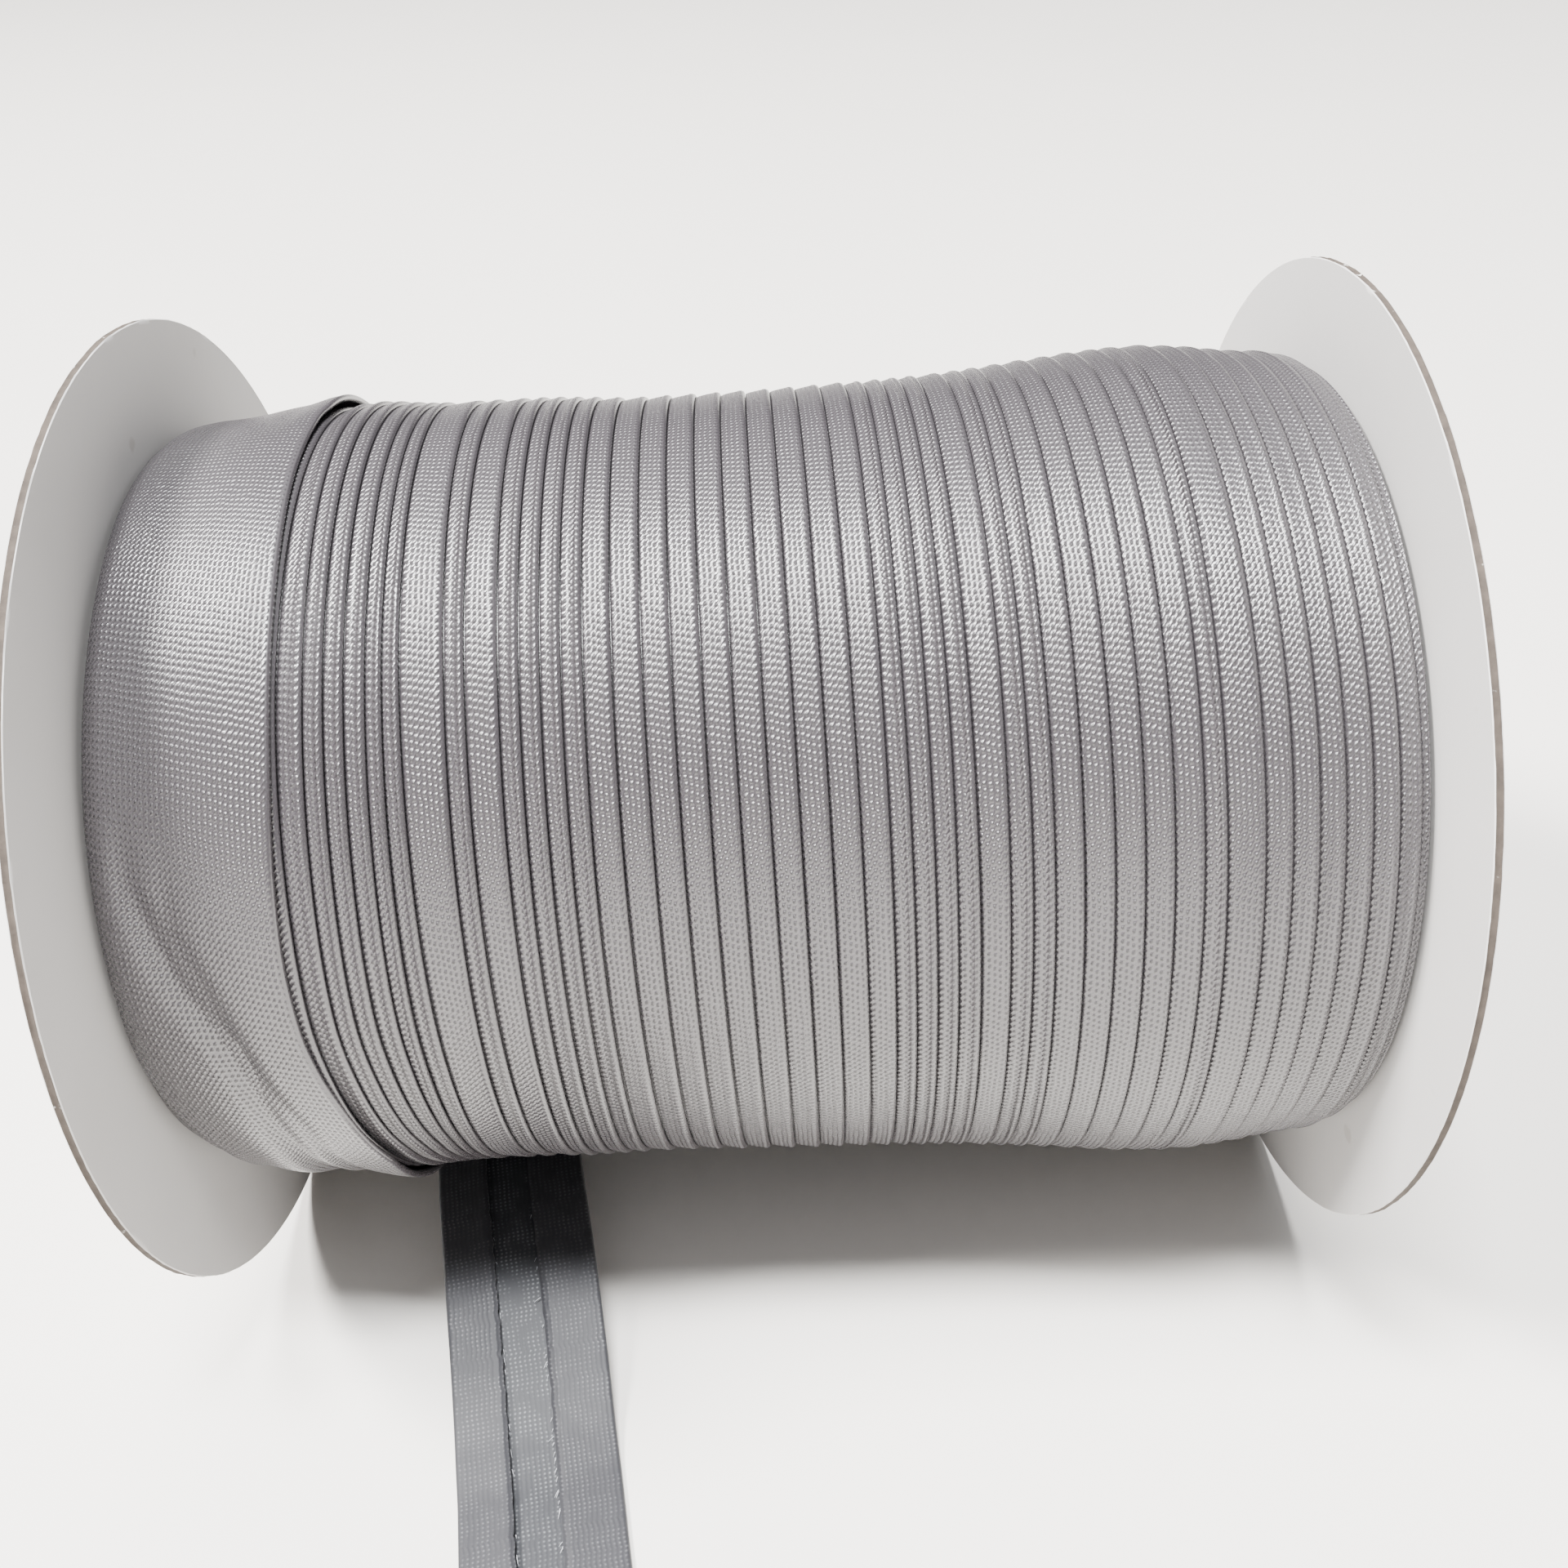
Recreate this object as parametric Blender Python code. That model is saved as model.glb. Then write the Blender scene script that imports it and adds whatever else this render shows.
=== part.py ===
"""Satin bias tape wound across a wide cardboard spool that lies on its side, its loose end drawn out in front.

Metres, +Z up, Z = 0 at the surface. X runs along the spool from its left flange to its right one, and -Y is
the front, where the loose end lies. The origin is the middle of the footprint.
"""

import math
from collections import namedtuple

import bmesh
import bpy
from mathutils import Matrix, Vector

MM = 0.001
GAP = 0.3 * MM

# Spool: two chipboard flanges with a spindle bore through all
FLANGE_RADIUS = 62 * MM
FLANGE_THICKNESS = 1.0 * MM
FLANGE_SPACING = 142 * MM
FLANGE_SEGMENTS = 96
CUTTER_LENGTH = 170 * MM
CUTTER_DEPTH = 10 * MM
FLAT_DEPTH = 0.32 * MM
BORE_RADIUS = 11 * MM
BORE_SEGMENTS = 24

# Tape: folded width, and how high a fold edge stands over the lay that it covers
TAPE_WIDTH = 20 * MM
LAP_STEP = 0.6 * MM
LAP_RUN = 0.25 * MM
LAST_WRAP_RISE = 0.85 * MM
SEGMENTS_AROUND = 54

# Loose end: one layer over its whole width, and a folded flap on each side
TAIL_LAYER = 1.0 * MM
TAIL_FLAP = 0.5 * MM
LEFT_FLAP_WIDTH = 6.7 * MM
RIGHT_FLAP_WIDTH = 7.6 * MM
TAIL_ROWS = 20

# Outline of the winding: place along the spool from its middle, and radius over the fold edges
Station = namedtuple("Station", "along_mm radius_mm")
WINDING_OUTLINE = [
    Station(-70.7, 46.2),
    Station(-68.0, 47.8),
    Station(-62.0, 48.6),
    Station(-54.0, 49.8),
    Station(-50.0, 50.1),
    Station(-45.0, 50.6),
    Station(-37.0, 50.1),
    Station(-25.0, 50.1),
    Station(-12.0, 49.5),
    Station(0.0, 49.6),
    Station(12.0, 49.9),
    Station(24.0, 50.4),
    Station(34.0, 51.3),
    Station(44.0, 52.3),
    Station(50.0, 52.6),
    Station(56.0, 52.2),
    Station(62.0, 51.4),
    Station(67.0, 51.0),
    Station(70.7, 49.0),
]

# Wraps from the last one to the first: how many follow each other at one pitch, read along the front
Lay = namedtuple("Lay", "wraps pitch_mm")
FIRST_EDGE_MM = -49.4
LAYS = [
    Lay(1, 3.4),
    Lay(3, 2.1),
    Lay(2, 1.75),
    Lay(1, 4.7),
    Lay(1, 2.1),
    Lay(1, 3.5),
    Lay(4, 2.2),
    Lay(10, 3.1),
    Lay(4, 2.25),
    Lay(1, 3.3),
    Lay(2, 2.25),
    Lay(5, 3.05),
    Lay(1, 2.2),
    Lay(1, 4.0),
    Lay(6, 2.87),
]

# Angles are seen from the left end: 0 is the front, 90 the top, 180 the back and 270, or -90, the bottom. The
# lays are read at LAY_ANGLE. The fold edges start behind the spool, where the last wrap begins to slant.
LAY_ANGLE = 48
START_ANGLE = 150
FADE_SEGMENTS = 5
FRONT_END_ANGLE = -86
FRONT_END_FADE = 14

# Middle of the last wrap behind the spool, on its way from the left flange to the loose end
BackStation = namedtuple("BackStation", "angle along_mm")
LAST_WRAP_BACK = [
    BackStation(START_ANGLE, -59.4),
    BackStation(180, -56.2),
    BackStation(220, -49.6),
    BackStation(262, -42.4),
]
LAST_WRAP_END_ANGLE = 262

# Soft creases in the last wrap, low on the front: two ends of each, depth and half width
Crease = namedtuple("Crease", "angle_a along_a_mm angle_b along_b_mm depth_mm half_width_mm")
CREASES = [
    Crease(20, -65.0, -36, -55.0, 0.8, 2.0),
    Crease(16, -61.5, -36, -51.5, 0.6, 1.6),
]
CREASE_FADE = 0.2
PANEL_RINGS = 8

# Route of the loose end: distance in front of the axis, height of its top, and its middle along the spool
TailStation = namedtuple("TailStation", "front_mm top_mm along_mm")
TAIL_ROUTE = [
    TailStation(-2.0, 10.6, -41.6),
    TailStation(8.0, 10.65, -40.6),
    TailStation(22.0, 10.4, -38.6),
    TailStation(38.0, 8.8, -35.7),
    TailStation(51.0, 5.0, -33.6),
    TailStation(60.0, 2.2, -32.3),
    TailStation(66.0, 1.5, -31.3),
    TailStation(75.0, 1.5, -29.9),
    TailStation(83.0, 1.5, -28.6),
]

# Places that follow from these sizes. The loose end is cut square, so a corner of it reaches furthest.
WINDING_END = FLANGE_SPACING / 2 - GAP
SEGMENT_ANGLE = 360 / SEGMENTS_AROUND
AXIS_HEIGHT = FLANGE_RADIUS - FLAT_DEPTH
TAIL_SLANT = math.atan2(
    TAIL_ROUTE[-1].along_mm - TAIL_ROUTE[-2].along_mm, TAIL_ROUTE[-1].front_mm - TAIL_ROUTE[-2].front_mm
)
TAIL_REACH = TAIL_ROUTE[-1].front_mm * MM + TAPE_WIDTH / 2 * math.sin(TAIL_SLANT)
AXIS_Y = (TAIL_REACH - FLANGE_RADIUS) / 2

TAPE_COLOUR = (0.56, 0.58, 0.62, 1.0)
TAPE_BACK_COLOUR = (0.30, 0.33, 0.38, 1.0)
CARD_COLOUR = (0.84, 0.83, 0.81, 1.0)


def smooth_value(places, values, at):
    """Value at a place on a smooth line through the given points that never runs past them."""
    if at <= places[0]:
        return values[0]
    if at >= places[-1]:
        return values[-1]
    spans = [b - a for a, b in zip(places, places[1:])]
    slopes = [(b - a) / span for a, b, span in zip(values, values[1:], spans)]
    tangents = [slopes[0]]
    for before, after in zip(slopes, slopes[1:]):
        tangents.append(2 * before * after / (before + after) if before * after > 0 else 0.0)
    tangents.append(slopes[-1])
    index = max(i for i, place in enumerate(places[:-1]) if place <= at)
    span = spans[index]
    t = (at - places[index]) / span
    return (
        values[index] * (1 + 2 * t) * (1 - t) ** 2
        + tangents[index] * span * t * (1 - t) ** 2
        + values[index + 1] * t * t * (3 - 2 * t)
        + tangents[index + 1] * span * t * t * (t - 1)
    )


def smooth_step(start, end, at):
    """0 before start, 1 after end, and a soft S between them."""
    t = min(max((at - start) / (end - start), 0.0), 1.0)
    return t * t * (3 - 2 * t)


def outline_radius(along):
    """Radius over the fold edges at a place along the spool."""
    places = [row.along_mm for row in WINDING_OUTLINE]
    radii = [row.radius_mm for row in WINDING_OUTLINE]
    return smooth_value(places, radii, along / MM) * MM


def edge_places():
    """Place of each fold edge along the front of the spool, from the last wrap to the first."""
    places = [FIRST_EDGE_MM * MM]
    for lay in LAYS:
        for _ in range(lay.wraps):
            places.append(places[-1] + lay.pitch_mm * MM)
    return places


EDGES = edge_places()


def edge_along(angle):
    """Place of the fold edge at an angle, which falls by 360 with each turn from the last wrap to the first."""
    turn = (LAY_ANGLE - angle) / 360
    if turn <= 0:
        return EDGES[0]
    whole = min(int(turn), len(EDGES) - 2)
    return EDGES[whole] + (EDGES[whole + 1] - EDGES[whole]) * (turn - whole)


def last_wrap_middle(angle):
    """Middle of the last wrap behind the spool."""
    places = [row.angle for row in LAST_WRAP_BACK]
    values = [row.along_mm for row in LAST_WRAP_BACK]
    return smooth_value(places, values, angle) * MM


def crease_depth(along, angle):
    """How far the creases draw the last wrap in at a point on the front."""
    depth = 0.0
    for row in CREASES:
        share = (angle - row.angle_a) / (row.angle_b - row.angle_a)
        middle = row.along_a_mm + (row.along_b_mm - row.along_a_mm) * share
        off = (along / MM - middle) / row.half_width_mm
        ends = smooth_step(0, CREASE_FADE, share) * (1 - smooth_step(1 - CREASE_FADE, 1, share))
        depth += row.depth_mm * MM * ends * math.exp(-off * off)
    return depth


def front_rise(angle):
    """How far the last wrap stands over the winding in front, where it hides all that lies left of its edge."""
    return LAST_WRAP_RISE * smooth_step(FRONT_END_ANGLE - FRONT_END_FADE, FRONT_END_ANGLE, angle)


def back_rise(along, angle):
    """How far the last wrap stands over the winding behind the spool, as a band that crosses other wraps."""
    angle = angle % 360
    if not START_ANGLE < angle <= LAST_WRAP_END_ANGLE:
        return 0.0
    off = abs(along - last_wrap_middle(angle))
    return LAST_WRAP_RISE * (1 - smooth_step(0.45 * TAPE_WIDTH, 0.55 * TAPE_WIDTH, off))


def new_object(name, mesh, material, collection):
    """Object from a mesh, with its material, in a collection."""
    obj = bpy.data.objects.new(name, mesh)
    if material:
        mesh.materials.append(material)
    collection.objects.link(obj)
    return obj


def mesh_from(bm, name):
    """Finished mesh from a bmesh, with its faces pointing out."""
    bmesh.ops.recalc_face_normals(bm, faces=bm.faces)
    mesh = bpy.data.meshes.new(name)
    bm.to_mesh(mesh)
    bm.free()
    return mesh


def new_material(name, colour, roughness, sheen):
    """Plain material with the part's colour and finish."""
    material = bpy.data.materials.new(name)
    material.use_nodes = True
    shader = material.node_tree.nodes["Principled BSDF"]
    shader.inputs["Base Color"].default_value = colour
    shader.inputs["Roughness"].default_value = roughness
    shader.inputs["Metallic"].default_value = 0.0
    shader.inputs["Sheen Weight"].default_value = sheen
    return material


def rod_along_x(bm, radius, length, segments):
    """Closed cylinder along X about the origin."""
    turn = Matrix.Rotation(math.pi / 2, 4, "Y")
    bmesh.ops.create_cone(
        bm, cap_ends=True, segments=segments, radius1=radius, radius2=radius, depth=length, matrix=turn
    )


def make_bore_cutter(collection):
    """Cutter for the spindle bore, longer than the spool."""
    bm = bmesh.new()
    rod_along_x(bm, BORE_RADIUS, CUTTER_LENGTH, BORE_SEGMENTS)
    cutter = new_object("bore_cutter", mesh_from(bm, "bore_cutter"), None, collection)
    cutter.location = (0, AXIS_Y, AXIS_HEIGHT)
    cutter.hide_render = True
    cutter.display_type = "WIRE"
    return cutter


def make_floor_cutter(collection):
    """Cutter whose top is the surface, which presses the rims flat where they stand."""
    bm = bmesh.new()
    bmesh.ops.create_cube(bm, size=1.0)
    bmesh.ops.scale(bm, verts=bm.verts, vec=(CUTTER_LENGTH, FLANGE_RADIUS, CUTTER_DEPTH))
    cutter = new_object("floor_cutter", mesh_from(bm, "floor_cutter"), None, collection)
    cutter.location = (0, AXIS_Y, -CUTTER_DEPTH / 2)
    cutter.hide_render = True
    cutter.display_type = "WIRE"
    return cutter


def cut(obj, cutter):
    """Subtract a cutter from an object."""
    modifier = obj.modifiers.new(cutter.name, "BOOLEAN")
    modifier.operation = "DIFFERENCE"
    modifier.solver = "EXACT"
    modifier.object = cutter


def make_flange(name, side, material, collection, cutters):
    """One flange: a chipboard disc with the spindle bore and a rim pressed flat below."""
    bm = bmesh.new()
    rod_along_x(bm, FLANGE_RADIUS, FLANGE_THICKNESS, FLANGE_SEGMENTS)
    flange = new_object(name, mesh_from(bm, name), material, collection)
    flange.location = (side * (FLANGE_SPACING + FLANGE_THICKNESS) / 2, AXIS_Y, AXIS_HEIGHT)
    flange.data.shade_smooth()
    flange.data.set_sharp_from_angle(angle=math.radians(30))
    for cutter in cutters:
        cut(flange, cutter)
    return flange


def on_winding(along, radius, angle):
    """Point at a place along the spool, a radius and an angle, about the spool's axis."""
    turn = math.radians(angle)
    return Vector((along, -radius * math.cos(turn), radius * math.sin(turn)))


def add_fold_edge(bm, count):
    """Crest and foot of the fold edge, all along the helix. They are one point at its two ends."""
    crests = []
    feet = []
    for k in range(count + 1):
        angle = START_ANGLE - k * SEGMENT_ANGLE
        along = edge_along(angle)
        fade = min(1.0, k / FADE_SEGMENTS, (count - k) / FADE_SEGMENTS)
        front = front_rise(angle) if k < SEGMENTS_AROUND else 0.0
        back = back_rise(along, angle)
        crest = outline_radius(along) + max(front, back)
        drop = front + LAP_STEP * (1 - back / LAST_WRAP_RISE)
        crests.append(bm.verts.new(on_winding(along, crest, angle)))
        if 0 < k < count:
            feet.append(bm.verts.new(on_winding(along + LAP_RUN, crest - drop * fade, angle)))
        else:
            feet.append(crests[-1])
    return crests, feet


def add_panel_rings(bm, crests):
    """Closed rings from the left end of the winding to the last wrap's fold edge."""
    rings = []
    for ring in range(PANEL_RINGS + 1):
        verts = []
        for k in range(SEGMENTS_AROUND):
            angle = START_ANGLE - k * SEGMENT_ANGLE
            along = -WINDING_END + (crests[k].co.x + WINDING_END) * ring / (PANEL_RINGS + 1)
            rise = max(front_rise(angle), back_rise(along, angle))
            radius = outline_radius(along) + rise - crease_depth(along, angle)
            verts.append(bm.verts.new(on_winding(along, radius, angle)))
        rings.append(verts)
    return rings


def add_end_ring(bm):
    """Closed ring at the right end of the winding."""
    verts = []
    for k in range(SEGMENTS_AROUND):
        angle = START_ANGLE - k * SEGMENT_ANGLE
        verts.append(bm.verts.new(on_winding(WINDING_END, outline_radius(WINDING_END), angle)))
    return verts


def make_winding(material, collection, bore_cutter):
    """The wound tape: lapped wraps on one helix, closed by a panel of the last wrap and by two flat ends."""
    bm = bmesh.new()
    around = SEGMENTS_AROUND
    count = int((len(EDGES) - 1 + (START_ANGLE - LAY_ANGLE) / 360) * around) - 1
    crests, feet = add_fold_edge(bm, count)
    rings = add_panel_rings(bm, crests)
    right = add_end_ring(bm)

    # Panel of the last wrap
    for inner, outer in zip(rings, rings[1:]):
        for k in range(around):
            after = (k + 1) % around
            bm.faces.new((inner[k], inner[after], outer[after], outer[k]))
    for k in range(around - 1):
        bm.faces.new((rings[-1][k], rings[-1][k + 1], crests[k + 1], crests[k]))
    bm.faces.new((rings[-1][-1], rings[-1][0], crests[0], crests[around], crests[around - 1]))

    # Risers under the fold edge, then the strip of each wrap that shows
    bm.faces.new((crests[0], crests[1], feet[1]))
    for k in range(1, count - 1):
        bm.faces.new((crests[k], crests[k + 1], feet[k + 1], feet[k]))
    bm.faces.new((crests[count - 1], crests[count], feet[count - 1]))
    for k in range(count - around):
        bm.faces.new((feet[k], feet[k + 1], crests[k + 1 + around], crests[k + around]))

    # Last strip to the right end, and the two flat ends
    for k in range(count - around, count):
        corners = [feet[k], feet[k + 1], right[(k + 1) % around], right[k % around]]
        if k == count - around:
            corners.append(crests[count])
        bm.faces.new(corners)
    bm.faces.new(rings[0])
    bm.faces.new(right)

    winding = new_object("winding", mesh_from(bm, "winding"), material, collection)
    winding.location = (0, AXIS_Y, AXIS_HEIGHT)
    winding.data.shade_smooth()
    winding.data.set_sharp_from_angle(angle=math.radians(35))
    cut(winding, bore_cutter)
    return winding


def tail_section():
    """Cross-section of the loose end: across and up from the middle of its underside."""
    half = TAPE_WIDTH / 2
    top = TAIL_LAYER + TAIL_FLAP
    left = -half + LEFT_FLAP_WIDTH
    right = half - RIGHT_FLAP_WIDTH
    return [
        (-half, 0.0),
        (half, 0.0),
        (half, top),
        (right, top),
        (right, TAIL_LAYER),
        (left, TAIL_LAYER),
        (left, top),
        (-half, top),
    ]


def tail_point(front):
    """Middle of the loose end's top at a distance in front of the axis."""
    places = [row.front_mm for row in TAIL_ROUTE]
    top = smooth_value(places, [row.top_mm for row in TAIL_ROUTE], front)
    along = smooth_value(places, [row.along_mm for row in TAIL_ROUTE], front)
    return Vector((along * MM, AXIS_Y - front * MM, top * MM))


def make_tail(material, collection):
    """The loose end: its folded section carried along its route down to the surface."""
    bm = bmesh.new()
    section = tail_section()
    first = TAIL_ROUTE[0].front_mm
    reach = TAIL_ROUTE[-1].front_mm - first
    nudge = 0.5
    thickness = TAIL_LAYER + TAIL_FLAP
    rows = []
    for row in range(TAIL_ROWS + 1):
        front = first + reach * row / TAIL_ROWS
        ahead = tail_point(min(front + nudge, TAIL_ROUTE[-1].front_mm))
        behind = tail_point(max(front - nudge, first))
        run = (ahead - behind).normalized()
        across = Vector((0, 0, 1)).cross(run).normalized()
        up = run.cross(across)
        base = tail_point(front) - up * thickness
        rows.append([bm.verts.new(base + across * x + up * z) for x, z in section])
    corners = len(section)
    for here, after in zip(rows, rows[1:]):
        for i in range(corners):
            j = (i + 1) % corners
            bm.faces.new((here[i], here[j], after[j], after[i]))
    bm.faces.new(rows[0])
    bm.faces.new(rows[-1])
    return new_object("tail", mesh_from(bm, "tail"), material, collection)


def main():
    """Clear the scene and build the spool, the winding and the loose end."""
    for obj in list(bpy.data.objects):
        bpy.data.objects.remove(obj, do_unlink=True)
    parts = bpy.data.collections.new("bias_tape_spool")
    cutters = bpy.data.collections.new("cutters")
    bpy.context.scene.collection.children.link(parts)
    bpy.context.scene.collection.children.link(cutters)

    tape = new_material("satin_tape", TAPE_COLOUR, 0.42, 0.3)
    tape_back = new_material("tape_back", TAPE_BACK_COLOUR, 0.7, 0.1)
    card = new_material("chipboard", CARD_COLOUR, 0.8, 0.0)

    bore_cutter = make_bore_cutter(cutters)
    floor_cutter = make_floor_cutter(cutters)
    make_flange("flange_left", -1, card, parts, [bore_cutter, floor_cutter])
    make_flange("flange_right", 1, card, parts, [bore_cutter, floor_cutter])
    make_winding(tape, parts, bore_cutter)
    make_tail(tape_back, parts)


main()
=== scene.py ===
"""Looks of a spool of satin bias tape: lapped wraps, the last wrap, the loose end and two card flanges.

Metres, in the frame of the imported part. X runs along the spool, -Y is the front, Z = 0 is the surface.
"""

import math
import random

import bpy
from mathutils import Matrix, Vector, noise


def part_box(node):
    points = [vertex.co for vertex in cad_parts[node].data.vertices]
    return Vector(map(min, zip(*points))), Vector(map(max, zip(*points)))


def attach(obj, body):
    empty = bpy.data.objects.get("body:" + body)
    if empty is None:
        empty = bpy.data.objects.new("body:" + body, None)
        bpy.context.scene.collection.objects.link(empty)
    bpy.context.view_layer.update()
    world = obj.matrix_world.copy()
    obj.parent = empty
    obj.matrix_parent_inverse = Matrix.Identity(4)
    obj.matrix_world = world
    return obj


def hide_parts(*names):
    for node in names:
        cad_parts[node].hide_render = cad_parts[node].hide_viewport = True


MM = 0.001

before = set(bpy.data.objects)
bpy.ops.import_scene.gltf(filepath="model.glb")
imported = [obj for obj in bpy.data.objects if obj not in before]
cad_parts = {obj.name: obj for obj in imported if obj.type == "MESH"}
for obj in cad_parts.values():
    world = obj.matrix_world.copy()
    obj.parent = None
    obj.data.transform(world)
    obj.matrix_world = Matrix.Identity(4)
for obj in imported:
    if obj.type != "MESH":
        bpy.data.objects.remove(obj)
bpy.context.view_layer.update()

# Spool, the same sizes as in the part
FLANGE_RADIUS = 62.0
FLANGE_SPACING = 142.0
FLANGE_THICKNESS = 1.0
BORE_RADIUS = 11.0
TUBE_WALL = 1.2
WINDING_END = FLANGE_SPACING / 2 - 0.3
TAPE_WIDTH = 20.0

flange_low, flange_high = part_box("flange_left")
AXIS_Y = (flange_low[1] + flange_high[1]) / 2 / MM
AXIS_Z = flange_high[2] / MM - FLANGE_RADIUS

# Outline of the winding over its fold edges: place along the spool and radius
OUTLINE_ALONG = [-70.7, -68, -62, -54, -50, -45, -37, -25, -12, 0, 12, 24, 34, 44, 50, 56, 62, 67, 70.7]
OUTLINE_RADIUS = [
    46.2, 47.8, 48.6, 49.8, 50.1, 50.6, 50.1, 50.1, 49.5, 49.6,
    49.9, 50.4, 51.3, 52.3, 52.6, 52.2, 51.4, 51.0, 49.0,
]

# Fold edges from the last wrap to the first, read where the spool faces the camera: wraps and pitch
LAY_ANGLE = 48
FIRST_EDGE = -49.25
LAYS = [
    (1, 0.35), (1, 2.9), (3, 2.1), (2, 1.75), (1, 4.7), (1, 2.1), (1, 3.5), (4, 2.2), (10, 3.1),
    (4, 2.25), (1, 3.3), (2, 2.25), (5, 3.05), (1, 2.2), (1, 4.0), (6, 2.87), (1, 1.15),
]

# Angles are seen from the left end: 0 front, 90 top, 180 back, -90 or 270 bottom
TAPE_START = -98
TAPE_END = 200
SEAM_ANGLE = -110
STEPS_A_TURN = 160
LEFT_RINGS = 9
FIRST_STRIP = -54.0

# Radius at which degrees round the spool turn into millimetres along the tape
TURN_RADIUS = 50.0

# How far the wraps beside the last one lean right, low on the front
LEAN_ANGLE = [-110, -80, -45, -26, -18, -8, 5, 24, 60]
LEAN_ALONG = [0.0, 2.5, 2.8, 2.0, 1.1, 0.2, -0.5, -0.3, 0.0]

# How far the wraps stand out, under the spool
SAG_ALONG = [-60, -45, -30, -12, 5, 25, 45, 65]
SAG = [-0.4, -0.8, -0.7, 0.1, 0.5, 0.5, 0.3, 0.0]

# Middle of the last wrap behind the spool
BACK_ANGLE = [150, 180, 220, 262, 276]
BACK_ALONG = [-59.4, -56.2, -49.6, -42.4, -40.2]

# Route of the loose end: distance in front of the axis, height of its top, middle along the spool
ROUTE_FRONT = [-11, -2, 8, 22, 38, 51, 60, 66, 75, 83]
ROUTE_TOP = [11.2, 10.6, 10.65, 10.4, 8.8, 5.0, 2.2, 1.5, 1.5, 1.5]
ROUTE_ALONG = [-43.0, -41.6, -40.6, -38.6, -35.7, -33.6, -32.3, -31.3, -29.9, -28.6]
LEFT_FLAP = 6.7
RIGHT_FLAP = 7.6
CLOTH = 0.28


def smooth_value(places, values, at):
    """Value at a place on a smooth line through the given points that never runs past them."""
    if at <= places[0]:
        return values[0]
    if at >= places[-1]:
        return values[-1]
    index = max(i for i, place in enumerate(places[:-1]) if place <= at)
    spans = [b - a for a, b in zip(places, places[1:])]
    slopes = [(b - a) / span for a, b, span in zip(values, values[1:], spans)]

    def tangent(i):
        """Slope of the line at a point."""
        if i == 0:
            return slopes[0]
        if i == len(places) - 1:
            return slopes[-1]
        before, after = slopes[i - 1], slopes[i]
        return 2 * before * after / (before + after) if before * after > 0 else 0.0

    span = spans[index]
    t = (at - places[index]) / span
    return (
        values[index] * (1 + 2 * t) * (1 - t) ** 2
        + tangent(index) * span * t * (1 - t) ** 2
        + values[index + 1] * t * t * (3 - 2 * t)
        + tangent(index + 1) * span * t * t * (t - 1)
    )


def waver(x, y, z):
    """Smooth noise between -1 and 1 at a point."""
    return noise.noise(Vector((x, y, z)))


def smooth_step(start, end, at):
    """0 before start, 1 after end, and a soft S between them."""
    t = min(max((at - start) / (end - start), 0.0), 1.0)
    return t * t * (3 - 2 * t)


def hump(start, top, end, at):
    """A soft rise from start to top and fall from top to end."""
    return smooth_step(start, top, at) * (1 - smooth_step(top, end, at))


OUTLINE_STEP = 0.1
OUTLINE_COUNT = int(FLANGE_SPACING / OUTLINE_STEP) + 1
OUTLINE_TABLE = [
    smooth_value(OUTLINE_ALONG, OUTLINE_RADIUS, OUTLINE_STEP * i - FLANGE_SPACING / 2)
    for i in range(OUTLINE_COUNT)
]


def outline_radius(along):
    """Radius over the fold edges, in millimetres."""
    place = min(max((along + FLANGE_SPACING / 2) / OUTLINE_STEP, 0), len(OUTLINE_TABLE) - 1.001)
    whole = int(place)
    return OUTLINE_TABLE[whole] + (OUTLINE_TABLE[whole + 1] - OUTLINE_TABLE[whole]) * (place - whole)


def edge_places():
    """Place of each fold edge, from the last wrap to the first."""
    places = [FIRST_EDGE]
    for wraps, pitch in LAYS:
        for _ in range(wraps):
            places.append(places[-1] + pitch)
    return places


EDGES = edge_places()


def around_angle(angle):
    """The same angle between -110 and 250."""
    return (angle - SEAM_ANGLE) % 360 + SEAM_ANGLE


def lean(along, angle):
    """How far a fold edge leans along the spool, low on the front beside the last wrap."""
    share = 1 - smooth_step(-45, -33, along)
    return share * smooth_value(LEAN_ANGLE, LEAN_ALONG, around_angle(angle)) if share > 0 else 0.0


def edge_along(angle):
    """Place of the fold edge at an angle that falls by 360 with each turn back along the tape."""
    turn = max((LAY_ANGLE - angle) / 360, 0.0)
    whole = min(int(turn), len(EDGES) - 2)
    place = EDGES[whole] + (EDGES[whole + 1] - EDGES[whole]) * min(turn - whole, 1.0)
    wobble = 0.10 * waver(turn * 2.7, 3.1, 0) + 0.05 * waver(turn * 9.0, 7.7, 0)
    ends = smooth_step(-48, -44, place) * (1 - smooth_step(66, 69, place))
    return place + lean(place, angle) + wobble * ends


def to_world(along, radius, angle):
    """Point on the spool, in metres, from millimetres and degrees."""
    turn = math.radians(angle)
    return Vector((along, AXIS_Y - radius * math.cos(turn), AXIS_Z + radius * math.sin(turn))) * MM


def sag(along, angle):
    """How far the wraps stand out or in, under the spool."""
    turned = around_angle(angle)
    under = smooth_step(-15, -50, turned) if turned < 90 else smooth_step(200, 250, turned)
    return under * smooth_value(SAG_ALONG, SAG, along) if under > 0 else 0.0


def around_spool(along, radius, angle):
    """Point on the wound tape, in metres."""
    return to_world(along, radius + sag(along, angle), angle)


def paint(mesh, name, values):
    """Number on each listed point of a mesh, for its material to read."""
    layer = mesh.attributes.new(name, "FLOAT", "POINT")
    for number, value in values.items():
        layer.data[number].value = value


def new_object(name, mesh, materials):
    """Object with its materials, in the scene."""
    for material in materials:
        mesh.materials.append(material)
    obj = bpy.data.objects.new(name, mesh)
    bpy.context.scene.collection.objects.link(obj)
    return obj


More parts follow.
